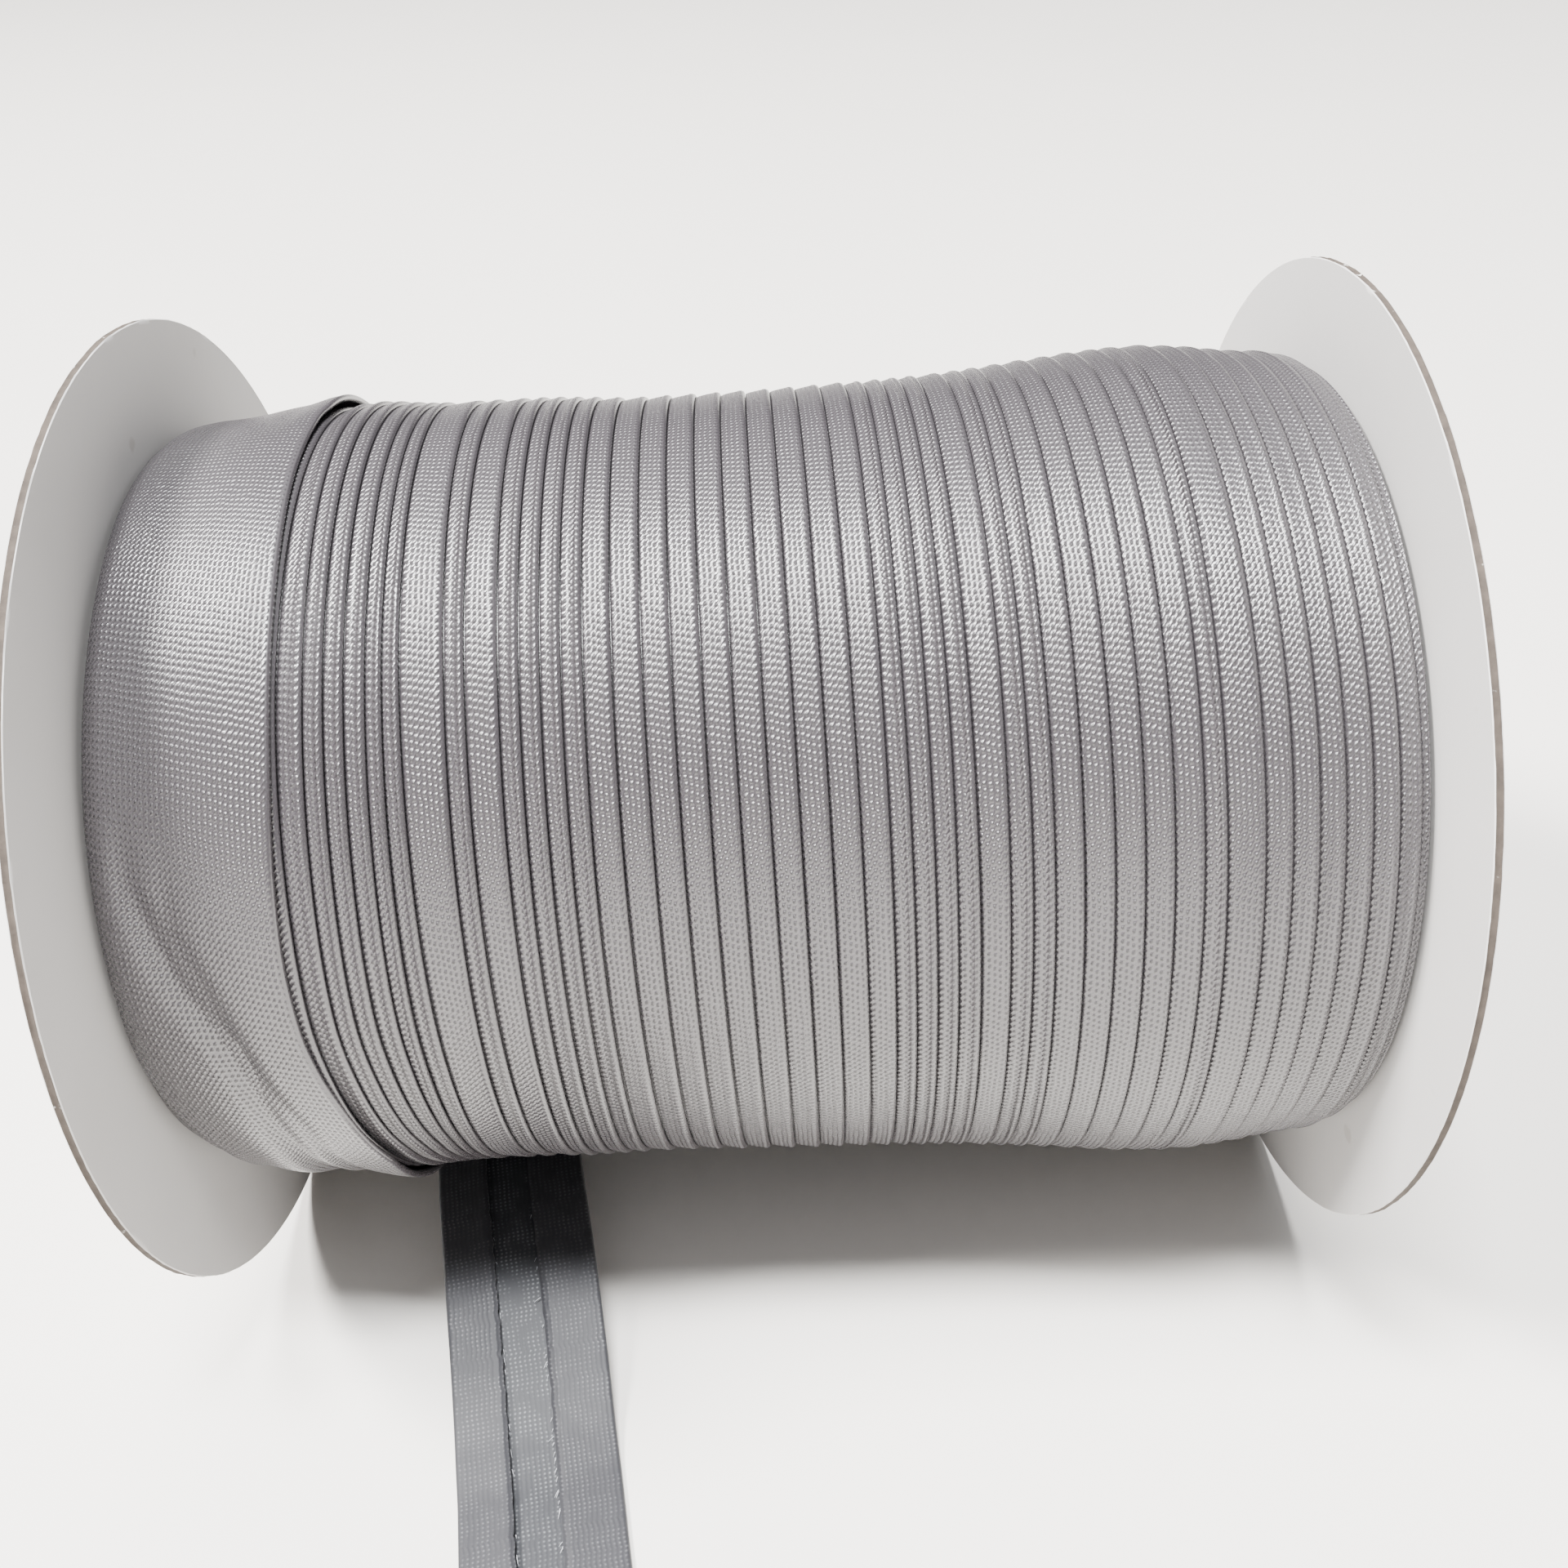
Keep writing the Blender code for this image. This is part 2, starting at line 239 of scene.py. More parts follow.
def mesh_with_places(name, verts, faces, uvs):
    """Smooth mesh from points, faces and the place on the tape, in millimetres, of each face's corners."""
    mesh = bpy.data.meshes.new(name)
    mesh.from_pydata([tuple(v) for v in verts], [], faces)
    layer = mesh.uv_layers.new(name="tape")
    flat = [value for corners in uvs for corner in corners for value in corner]
    layer.data.foreach_set("uv", flat)
    mesh.shade_smooth()
    mesh.update()
    return mesh


# Cross-section of one lapped strip, from under its left neighbour to under its own fold edge:
# share of the strip's width, millimetres past that share, millimetres over the outline, painted crevice
# shade, calm
SECTION = [
    (0.0, -0.24, -1.20, 1.0, 1.0),
    (0.0, 0.01, -0.95, 1.0, 1.0),
    (0.0, 0.11, -0.46, 0.30, 0.2),
    (0.0, 0.40, -0.35, 0.0, 0.0),
    (0.40, 0.0, -0.20, 0.0, 0.0),
    (0.70, 0.0, -0.07, 0.0, 0.0),
    (1.0, -0.80, 0.0, 0.0, 0.0),
    (1.0, -0.42, -0.01, 0.0, 0.4),
    (1.0, -0.13, -0.13, 0.0, 1.0),
    (1.0, 0.0, -0.38, 0.10, 1.0),
    (1.0, -0.07, -0.62, 0.9, 1.0),
]
POINTS = len(SECTION)
FOLD_POINT = 8

# Strips narrower than this are drawn tighter, and the fold's back is this much tape for each point
FULL_LAY = 2.6
BEHIND_FOLD = 0.27

# How far the panel at the left and the right end lie below the outline
PANEL_SINK = 0.1
END_SINK = 1.1


def make_wound_tape(materials):
    """All the wraps as one closed skin: a panel at the left, lapped strips on a helix and two flat ends."""
    around = STEPS_A_TURN
    step = 360 / around
    count = int((TAPE_START - (TAPE_END - 360 * len(EDGES))) / step)
    verts = []
    faces = []
    uvs = []
    rings = []
    shades = {}
    calms = {}
    for ring in range(LEFT_RINGS):
        along = -WINDING_END + (FIRST_STRIP + WINDING_END) * ring / (LEFT_RINGS - 1)
        row = []
        for k in range(around):
            row.append(len(verts))
            verts.append(around_spool(along, outline_radius(along) - PANEL_SINK, TAPE_START - k * step))
        rings.append((along, row))

    ids = []
    places = []
    for k in range(count + 1):
        angle = TAPE_START - k * step
        right = edge_along(angle)
        left = edge_along(angle + 360) if k >= around else FIRST_STRIP
        width = max(right - left, 0.3)
        tight = min(width / FULL_LAY, 1.0)
        turn = k / around
        puff = 0.10 * waver(turn * 1.9, 0, 5.0) + 0.04 * waver(turn * 23.0, 0, 9.0)
        row = []
        place = []
        for index, (share, off, depth, shade, calm) in enumerate(SECTION):
            along = left + width * share + off * (tight if index > 0 else 1.0)
            if k < around and index < FOLD_POINT - 1:
                along = left + (right + SECTION[FOLD_POINT - 2][1] - left) * index / (FOLD_POINT - 2)
                depth = -PANEL_SINK * (1 - index / (FOLD_POINT - 2))
            if index == 0:
                row.append(rings[-1][1][k] if k < around else None)
            else:
                lift = puff * (index / POINTS if k >= around else 0.0)
                folded = k >= around or index >= FOLD_POINT - 1
                shades[len(verts)] = shade if folded else 0.0
                calms[len(verts)] = calm if folded else 0.0
                row.append(len(verts))
                base = outline_radius(min(along, WINDING_END))
                verts.append(around_spool(along, base + depth + lift, angle))
            across = along - right if index <= FOLD_POINT else (index - FOLD_POINT) * BEHIND_FOLD
            place.append((math.radians(angle) * TURN_RADIUS, across))
        ids.append(row)
        places.append(place)
    for k in range(around, count + 1):
        ids[k][0] = ids[k - around][POINTS - 1]

    def add(face, corners):
        """One face, with the place of each of its corners on the tape."""
        faces.append(face)
        uvs.append(corners)

    for (along_a, inner), (along_b, outer) in zip(rings, rings[1:]):
        a = along_a - FIRST_EDGE
        b = along_b - FIRST_EDGE
        for k in range(around):
            after = (k + 1) % around
            u = math.radians(TAPE_START - k * step) * TURN_RADIUS
            v = u - math.radians(step) * TURN_RADIUS
            add((inner[k], outer[k], outer[after], inner[after]), ((u, a), (u, b), (v, b), (v, a)))
    for k in range(count):
        for j in range(POINTS - 1):
            add(
                (ids[k][j], ids[k][j + 1], ids[k + 1][j + 1], ids[k + 1][j]),
                (places[k][j], places[k][j + 1], places[k + 1][j + 1], places[k + 1][j]),
            )
    seam = [rings[-1][1][around - 1]] + ids[0]
    add(tuple(reversed(seam)), [(0.0, 0.0)] * len(seam))

    # Right end: a ring beside the flange, then down to the tube
    right_ring = []
    for k in range(around):
        right_ring.append(len(verts))
        angle = TAPE_START - (count - around + k) * step
        verts.append(to_world(WINDING_END, outline_radius(WINDING_END) - END_SINK, angle))
    for k in range(count - around, count):
        i = k - (count - around)
        j = (i + 1) % around
        add((ids[k][-1], right_ring[i], right_ring[j], ids[k + 1][-1]), [(0.0, 0.0)] * 4)
    last = ids[count] + [right_ring[0]]
    add(tuple(last), [(0.0, 0.0)] * len(last))
    for ring, end, flip in ((rings[0][1], -WINDING_END, True), (right_ring, WINDING_END, False)):
        start_angle = TAPE_START if flip else TAPE_START - (count - around) * step
        inner = []
        for k in range(around):
            inner.append(len(verts))
            verts.append(to_world(end, BORE_RADIUS + TUBE_WALL / 2, start_angle - k * step))
        for k in range(around):
            after = (k + 1) % around
            quad = (inner[k], ring[k], ring[after], inner[after])
            add(quad if flip else tuple(reversed(quad)), [(0.0, 0.0)] * 4)

    mesh = mesh_with_places("wound_tape", verts, faces, uvs)
    # Painted shade in the crevices under the fold edges, and where the weave fades out near them
    paint(mesh, "shade", shades)
    paint(mesh, "calm", calms)
    return new_object("wound_tape", mesh, materials)


# Last wrap: where its right edge stands in front, its width and thickness
BAND_START = -112
BAND_END = 268
BAND_STEP = 1.25
BAND_ANGLE = [-112, -98, -70, -40, -26, -18, -10, -3, 4, 13, 24, 40, 60, 84, 96, 101, 112, 150]
BAND_EDGE = [
    -48.4, -47.0, -45.2, -44.8, -45.2, -46.6, -48.0, -49.2, -49.9, -50.1, -49.8, -49.3, -49.2, -49.5,
    -49.4, -49.0, -48.9, -49.4,
]
BAND_FRONT_WIDTH = 21.2
BAND_THICKNESS = 0.85
BAND_ACROSS = 34

# Creases in the last wrap: a run of places (angle, along), depth and half width
CREASES = [
    ([24, 11, -1, -12, -26, -40], [-66.0, -62.6, -58.6, -57.2, -56.3, -56.0], 0.95, 1.5),
    ([18, 9, -6, -16, -30, -44], [-62.0, -59.4, -55.9, -53.8, -52.4, -51.8], 0.60, 1.1),
]


def band_edges(angle):
    """Left and right edge of the last wrap at an angle."""
    if angle >= BACK_ANGLE[0]:
        middle = smooth_value(BACK_ANGLE, BACK_ALONG, angle)
        return middle - TAPE_WIDTH / 2, middle + TAPE_WIDTH / 2
    right = smooth_value(BAND_ANGLE, BAND_EDGE, angle)
    wide = BAND_FRONT_WIDTH + (TAPE_WIDTH - BAND_FRONT_WIDTH) * smooth_step(110, 150, angle)
    return max(right - wide, -WINDING_END + 0.15), right


def band_lift(along, from_right, from_left, angle):
    """How far the last wrap stands off the wraps below it, with its creases and soft bulges."""
    lift = 0.5 * smooth_step(-6, -36, angle) * (1 - smooth_step(-60, -96, angle))
    lift *= 1 - smooth_step(0.5, 8.0, from_right)
    lift += 0.75 * hump(84, 106, 150, angle) * (1 - smooth_step(0.3, 5.5, from_right))
    bulge = 0.5 * smooth_step(6, -34, angle) * (1 - smooth_step(-60, -96, angle))
    lift += bulge * hump(1.5, 6.5, 11.0, from_left)
    for angles, alongs, depth, half in CREASES:
        if angles[-1] - 14 < angle < angles[0] + 14:
            middle = smooth_value(list(reversed(angles)), list(reversed(alongs)), angle)
            ends = smooth_step(angles[0] + 14, angles[0] - 10, angle)
            ends *= smooth_step(angles[-1] - 14, angles[-1] + 6, angle)
            off = (along - middle) / half
            lift -= depth * ends * math.exp(-off * off)
    lift += 0.16 * waver(along * 0.16, angle * 0.035, 2.0)
    lift += 0.05 * waver(along * 0.5, angle * 0.12, 4.0)
    return lift


def make_last_wrap(materials):
    """The last wrap: folded tape with two round folds, from under the spool, over it and down the back."""
    verts = []
    faces = []
    uvs = []
    rows = []
    places = []
    calms = {}
    steps = int((BAND_END - BAND_START) / BAND_STEP)
    half = BAND_THICKNESS / 2
    for k in range(steps + 1):
        angle = BAND_START + k * BAND_STEP
        left, right = band_edges(angle)
        wide = right - left
        sink = 1.3 * (1 - smooth_step(BAND_START + 2, BAND_START + 26, angle))
        top = []
        for i in range(BAND_ACROSS + 1):
            share = i / BAND_ACROSS
            share -= 0.35 * math.sin(2 * math.pi * share) / (2 * math.pi)
            along = left + wide * share
            from_left = along - left
            from_right = right - along
            lift = band_lift(along, from_right, from_left, angle)
            round_off = 0.0
            for distance in (from_left, from_right):
                if distance < half:
                    round_off += half - math.sqrt(max(half * half - (half - distance) ** 2, 0.0))
                else:
                    round_off += 0.05 * math.exp(-(distance - half) / 0.5)
            radius = outline_radius(along) + BAND_THICKNESS + lift - sink - round_off
            top.append((along, radius, lift))
        under = []
        for i in range(1, BAND_ACROSS):
            along, radius, lift = top[BAND_ACROSS - i]
            from_left = along - left
            from_right = right - along
            close = min(from_left, from_right)
            thick = BAND_THICKNESS
            if close <= half:
                thick = 2 * math.sqrt(max(half * half - (half - close) ** 2, 0.0))
            under.append((along, outline_radius(along) + BAND_THICKNESS / 2 + lift - sink - thick / 2))
        row = []
        place = []
        for i, (along, radius) in enumerate([(a, r) for a, r, _ in top] + under):
            row.append(len(verts))
            calms[len(verts)] = 1 - smooth_step(0.3, 0.8, right - along) if i <= BAND_ACROSS else 1.0
            verts.append(around_spool(along, radius, angle))
            across = along - right if i <= BAND_ACROSS else right - along
            place.append((math.radians(angle) * TURN_RADIUS, across))
        rows.append(row)
        places.append(place)
    points = len(rows[0])
    for a, b, here, after in zip(rows, rows[1:], places, places[1:]):
        for j in range(points):
            n = (j + 1) % points
            faces.append((a[j], b[j], b[n], a[n]))
            uvs.append((here[j], after[j], after[n], here[n]))
    for row, flip in ((rows[0], False), (rows[-1], True)):
        faces.append(tuple(reversed(row)) if flip else tuple(row))
        uvs.append([(0.0, 0.0)] * points)
    mesh = mesh_with_places("last_wrap", verts, faces, uvs)
    paint(mesh, "calm", calms)
    return new_object("last_wrap", mesh, materials)


# Loose end: steps along it, the least height of its lower and upper skin, and where the upper one's
# places on the tape start, so that the two skins have weaves of their own
TAIL_STEPS = 150
LEAST_OUTER = 0.02
LEAST_INNER = 0.04
INNER_SHIFT = 100


def tail_line(at):
    """Middle line of the folded cloth at a place along it: across and up, left raw edge to right one."""
    open_left = 0.55 + 0.22 * waver(at * 0.09, 1.0, 0)
    open_right = 0.12 + 0.16 * waver(at * 0.11, 5.0, 0)
    ragged_left = 0.22 * waver(at * 0.8, 2.0, 0) + 0.10 * waver(at * 3.1, 2.0, 0)
    ragged_right = 0.22 * waver(at * 0.7, 8.0, 0) + 0.12 * waver(at * 2.7, 8.0, 0)
    belly = 0.10 + 0.08 * waver(at * 0.07, 3.0, 0)
    half = TAPE_WIDTH / 2
    low = CLOTH / 2
    fold = 0.30
    flap = low + 2 * fold
    left_edge = -half + LEFT_FLAP + ragged_left
    right_edge = half - RIGHT_FLAP + ragged_right
    line = []
    for i in range(7):
        t = i / 6
        across = left_edge + (-half + fold - left_edge) * t
        line.append((across, flap + open_left * (1 - t) ** 2))
    for i in range(1, 6):
        turn = math.pi * i / 6
        line.append((-half + fold - fold * math.sin(turn), low + fold + fold * math.cos(turn)))
    for i in range(13):
        t = i / 12
        across = -half + fold + (TAPE_WIDTH - 2 * fold) * t
        line.append((across, low + belly * math.sin(math.pi * t) ** 2))
    for i in range(1, 6):
        turn = math.pi * i / 6
        line.append((half - fold + fold * math.sin(turn), low + fold - fold * math.cos(turn)))
    for i in range(7):
        t = i / 6
        across = half - fold + (right_edge - half + fold) * t
        line.append((across, flap + open_right * t ** 2))
    return line


def route_point(front):
    """Middle of the loose end's underside, at a distance in front of the axis."""
    top = smooth_value(ROUTE_FRONT, ROUTE_TOP, front)
    along = smooth_value(ROUTE_FRONT, ROUTE_ALONG, front)
    base = top - 0.95 - 0.5 * smooth_step(10, 2, top)
    return Vector((along, AXIS_Y - front, base))


def make_loose_end(materials):
    """The loose end as true folded cloth, wrong side up between its two flaps."""
    verts = []
    faces = []
    uvs = []
    rows = []
    places = []
    first, last = ROUTE_FRONT[0], ROUTE_FRONT[-1]
    nudge = 0.4
    distance = 0.0
    before = None
    for k in range(TAIL_STEPS + 1):
        front = first + (last - first) * k / TAIL_STEPS
        ahead = route_point(min(front + nudge, last))
        behind = route_point(max(front - nudge, first))
        run = (ahead - behind).normalized()
        across = Vector((0, 0, 1)).cross(run).normalized()
        up = run.cross(across)
        if up.z < 0:
            up = -up
        across = across if across.x > 0 else -across
        base = route_point(front)
        if before is not None:
            distance += (base - before).length
        before = base
        line = tail_line(distance)
        normals = []
        for i, (x, z) in enumerate(line):
            ax, az = line[max(i - 1, 0)]
            bx, bz = line[min(i + 1, len(line) - 1)]
            size = math.hypot(bx - ax, bz - az)
            normals.append((-(bz - az) / size, (bx - ax) / size))
        outer = [(x - n[0] * CLOTH / 2, z - n[1] * CLOTH / 2) for (x, z), n in zip(line, normals)]
        inner = [(x + n[0] * CLOTH / 2, z + n[1] * CLOTH / 2) for (x, z), n in zip(line, normals)]
        lengths = [0.0]
        for (ax, az), (bx, bz) in zip(line, line[1:]):
            lengths.append(lengths[-1] + math.hypot(bx - ax, bz - az))
        row = []
        place = []
        skins = (
            (outer, lengths, LEAST_OUTER, 0),
            (inner[::-1], lengths[::-1], LEAST_INNER, INNER_SHIFT),
        )
        for skin, marks, least, shift in skins:
            for (x, z), mark in zip(skin, marks):
                row.append(len(verts))
                point = base + across * x + up * z
                point.z = max(point.z, least)
                verts.append(point * MM)
                place.append((distance, mark + shift))
        rows.append(row)
        places.append(place)
    points = len(rows[0])
    material_index = []
    for a, b, here, after in zip(rows, rows[1:], places, places[1:]):
        for j in range(points):
            n = (j + 1) % points
            faces.append((a[j], a[n], b[n], b[j]))
            uvs.append((here[j], here[n], after[n], after[j]))
            material_index.append(0 if j < points // 2 - 1 else 1)
    for row, flip in ((rows[0], True), (rows[-1], False)):
        faces.append(tuple(reversed(row)) if flip else tuple(row))
        uvs.append([(0.0, 0.0)] * points)
        material_index.append(1)
    mesh = mesh_with_places("loose_end", verts, faces, uvs)
    for polygon, index in zip(mesh.polygons, material_index):
        polygon.material_index = index
    return new_object("loose_end", mesh, materials), distance


# Stray threads: pieces of each one, and where they start, in front of the axis
THREAD_STEPS = 3
FRAY_START = 30.0


def make_fray(materials):
    """Short stray threads along the two raw edges of the loose end."""
    dice = random.Random(31)
    verts = []
    faces = []
    first, last = FRAY_START, ROUTE_FRONT[-1]
    left_edge = (LEFT_FLAP - TAPE_WIDTH / 2 + 0.1, 1.1, 1.0, 20)
    right_edge = (TAPE_WIDTH / 2 - RIGHT_FLAP - 0.1, 0.85, -1.0, 34)
    for across, rise, side, threads in (left_edge, right_edge):
        for _ in range(threads):
            front = first + (last - first) * dice.random() ** 0.6
            start = route_point(front) + Vector((across, 0, rise))
            reach = 0.35 + 0.9 * dice.random() ** 2
            sway = -0.5 - 5.0 * dice.random()
            heading = Vector((side, sway, 0.35 * dice.random())).normalized()
            width = 0.035 + 0.03 * dice.random()
            sideways = heading.cross(Vector((0, 0, 1))).normalized() * width
            points = []
            for i in range(THREAD_STEPS + 1):
                t = i / THREAD_STEPS
                middle = start + heading * reach * t + Vector((0, 0, -0.25 * t * t))
                thin = 1 - 0.7 * t
                points.append((middle - sideways * thin, middle + sideways * thin))
            number = len(verts)
            for a, b in points:
                verts.extend([a * MM, b * MM])
            for i in range(THREAD_STEPS):
                j = number + 2 * i
                faces.append((j, j + 1, j + 3, j + 2))
    mesh = mesh_with_places("fray", verts, faces, [[(0.0, 0.0)] * 4 for _ in faces])
    return new_object("fray", mesh, materials)


# Card flanges, round and from the bore to the rim, and the cut rim: place in its thickness and radius
DISC_STEPS = 360
DISC_RADII = [11.0, 11.4, 16, 24, 34, 44, 52, 57, 60, 61.4, 61.9]
RIM_LINES = [(0.12, 62.0), (0.35, 61.92), (0.65, 61.94), (0.88, 62.0)]


def make_card(name, side, materials):
    """One flange: a slightly uneven card disc with paper faces and a rough cut rim."""
    inner_face = side * FLANGE_SPACING / 2
    outer_face = side * (FLANGE_SPACING / 2 + FLANGE_THICKNESS)
    verts = []
    faces = []
    index = []
    shift = 11.0 if side > 0 else 0.0

    def warp(radius, angle):
        """Slow wave of the card, growing to the rim, and away from the winding."""
        turn = math.radians(angle)
        wave = waver(math.cos(turn) * radius * 0.02, math.sin(turn) * radius * 0.02, shift)
        return side * (0.10 + 0.16 * wave) * (radius / FLANGE_RADIUS) ** 2

    def place(along, radius, angle):
        """Point on the disc, pressed flat where it stands."""
        point = to_world(along + warp(radius, angle), radius, angle)
        point.z = max(point.z, 0.0)
        return point

    def ragged(angle, line):
        """How far the cut rim strays, finely."""
        turn = math.radians(angle)
        wide = waver(math.cos(turn) * 9, math.sin(turn) * 9, shift + line)
        fine = waver(math.cos(turn) * 46, math.sin(turn) * 46, shift + 3 * line)
        return 0.07 * wide + 0.09 * fine

    profile = [(inner_face, radius, 0.0) for radius in DISC_RADII]
    for line, (off, radius) in enumerate(RIM_LINES):
        profile.append((inner_face + side * off, radius, line + 1.0))
    profile += [(outer_face, radius, 0.0) for radius in reversed(DISC_RADII)]
    rows = []
    for along, radius, line in profile:
        row = []
        for k in range(DISC_STEPS):
            angle = 360 * k / DISC_STEPS
            stray = ragged(angle, line) if line else 0.0
            row.append(len(verts))
            verts.append(place(along, radius + stray, angle))
        rows.append(row)
    count = len(rows)
    rim_start = len(DISC_RADII) - 1
    for r in range(count):
        a, b = rows[r], rows[(r + 1) % count]
        rim = rim_start < r < rim_start + len(RIM_LINES)
        for k in range(DISC_STEPS):
            n = (k + 1) % DISC_STEPS
            quad = (a[k], a[n], b[n], b[k])
            faces.append(quad if side > 0 else tuple(reversed(quad)))
            index.append(1 if rim or r == count - 1 else 0)
    mesh = bpy.data.meshes.new(name)
    mesh.from_pydata([tuple(v) for v in verts], [], faces)
    for polygon, number in zip(mesh.polygons, index):
        polygon.material_index = number
    mesh.shade_smooth()
    mesh.set_sharp_from_angle(angle=math.radians(40))
    mesh.update()
    return new_object(name, mesh, materials)


TUBE_STEPS = 72


def make_tube(materials):
    """Card tube that the tape is wound on, seen only through the spindle bore."""
    verts = []
    faces = []
    profile = [
        (-WINDING_END, BORE_RADIUS), (-WINDING_END, BORE_RADIUS + TUBE_WALL),
        (WINDING_END, BORE_RADIUS + TUBE_WALL), (WINDING_END, BORE_RADIUS),
    ]
    for along, radius in profile:
        for k in range(TUBE_STEPS):
            verts.append(to_world(along, radius, 360 * k / TUBE_STEPS))
    for r in range(len(profile)):
        here = r * TUBE_STEPS
        after = (r + 1) % len(profile) * TUBE_STEPS
        for k in range(TUBE_STEPS):
            n = (k + 1) % TUBE_STEPS
            faces.append((here + k, here + n, after + n, after + k))
    mesh = bpy.data.meshes.new("tube")
    mesh.from_pydata([tuple(v) for v in verts], [], faces)
    mesh.shade_smooth()
    mesh.set_sharp_from_angle(angle=math.radians(40))
    return new_object("tube", mesh, materials)


# Materials
class Nodes:
    """Short names for building one material's nodes."""

    def __init__(self, name):
        self.material = bpy.data.materials.new(name)
        self.material.use_nodes = True
        self.tree = self.material.node_tree
        self.shader = self.tree.nodes["Principled BSDF"]

    def add(self, kind):
        """New node of a kind."""
        return self.tree.nodes.new(kind)

    def link(self, source, target):
        """Link one socket to another."""
        self.tree.links.new(source, target)

    def put(self, value, socket):
        """Set a socket to a number, or link it to another socket."""
        if isinstance(value, bpy.types.NodeSocket):
            self.link(value, socket)
        else:
            socket.default_value = value

    def math(self, operation, a, b=None, c=None):
        """Math node's result."""
        node = self.add("ShaderNodeMath")
        node.operation = operation
        for value, socket in zip((a, b, c), node.inputs):
            if value is not None:
                self.put(value, socket)
        return node.outputs[0]

    def mix(self, share, a, b):
        """Colour between two colours."""
        node = self.add("ShaderNodeMix")
        node.data_type = "RGBA"
        self.put(share, node.inputs["Factor"])
        self.put(a, node.inputs["A"])
        self.put(b, node.inputs["B"])
        return node.outputs["Result"]

    def noise(self, vector, scale, detail=3.0, roughness=0.55):
        """Noise between 0 and 1."""
        node = self.add("ShaderNodeTexNoise")
        node.inputs["Scale"].default_value = scale
        node.inputs["Detail"].default_value = detail
        node.inputs["Roughness"].default_value = roughness
        self.link(vector, node.inputs["Vector"])
        return node.outputs["Fac"]

    def ramp(self, value, low, high):
        """0 below low, 1 above high."""
        node = self.add("ShaderNodeMapRange")
        node.interpolation_type = "SMOOTHSTEP"
        self.link(value, node.inputs["Value"])
        node.inputs["From Min"].default_value = low
        node.inputs["From Max"].default_value = high
        return node.outputs["Result"]

    def bump(self, height, distance, strength=1.0):
        """Bump in metres from a height between 0 and 1."""
        node = self.add("ShaderNodeBump")
        node.inputs["Distance"].default_value = distance
        node.inputs["Strength"].default_value = strength
        self.link(height, node.inputs["Height"])
        return node.outputs["Normal"]

    def place(self):
        """Place in the part's frame."""
        return self.add("ShaderNodeTexCoord").outputs["Object"]

    def attribute(self, name):
        """Number painted on the mesh."""
        node = self.add("ShaderNodeAttribute")
        node.attribute_name = name
        return node.outputs["Fac"]

    def tape(self):
        """Place along and across the tape, in millimetres."""
        node = self.add("ShaderNodeUVMap")
        node.uv_map = "tape"
        split = self.add("ShaderNodeSeparateXYZ")
        self.link(node.outputs["UV"], split.inputs[0])
        return node.outputs["UV"], split.outputs["X"], split.outputs["Y"]


# Weave: small pits between slanted strands. Pitch of the pits across and along the tape, in
# millimetres, and how far each row of pits falls for each millimetre across
PIT_ACROSS = 0.58
PIT_ALONG = 0.82
PIT_FALL = 0.26


def weave(nodes, stray):
    """Pits, grooves and tilted floats of the bias satin, each from 0 to 1."""
    uv, along, across = nodes.tape()
    drift = nodes.math("MULTIPLY", nodes.math("SUBTRACT", nodes.noise(uv, 0.55, 2.0), 0.5), stray)
    along = nodes.math("ADD", along, drift)
    across = nodes.math("ADD", across, drift)
    column = nodes.math("DIVIDE", across, PIT_ACROSS)
    row = nodes.math("DIVIDE", nodes.math("MULTIPLY_ADD", across, PIT_FALL, along), PIT_ALONG)
    waves = []
    for count in (column, row, nodes.math("SUBTRACT", column, row)):
        swing = nodes.math("COSINE", nodes.math("MULTIPLY", count, 2 * math.pi))
        waves.append(nodes.math("MULTIPLY_ADD", swing, 0.5, 0.5))
    flat = nodes.math("SUBTRACT", 1.0, nodes.attribute("calm"))
    pit = nodes.math("POWER", nodes.math("MULTIPLY", waves[0], waves[1]), 1.7)
    groove = nodes.math("POWER", waves[2], 2.0)
    slope = nodes.math("MULTIPLY_ADD", waves[1], 0.4, nodes.math("FRACT", row))
    return [uv] + [nodes.math("MULTIPLY", share, flat) for share in (pit, groove, slope)]


# Near black of the painted shade in the crevice under each fold edge
PAINTED_CREVICE_SHADE = (0.006, 0.005, 0.006, 1.0)


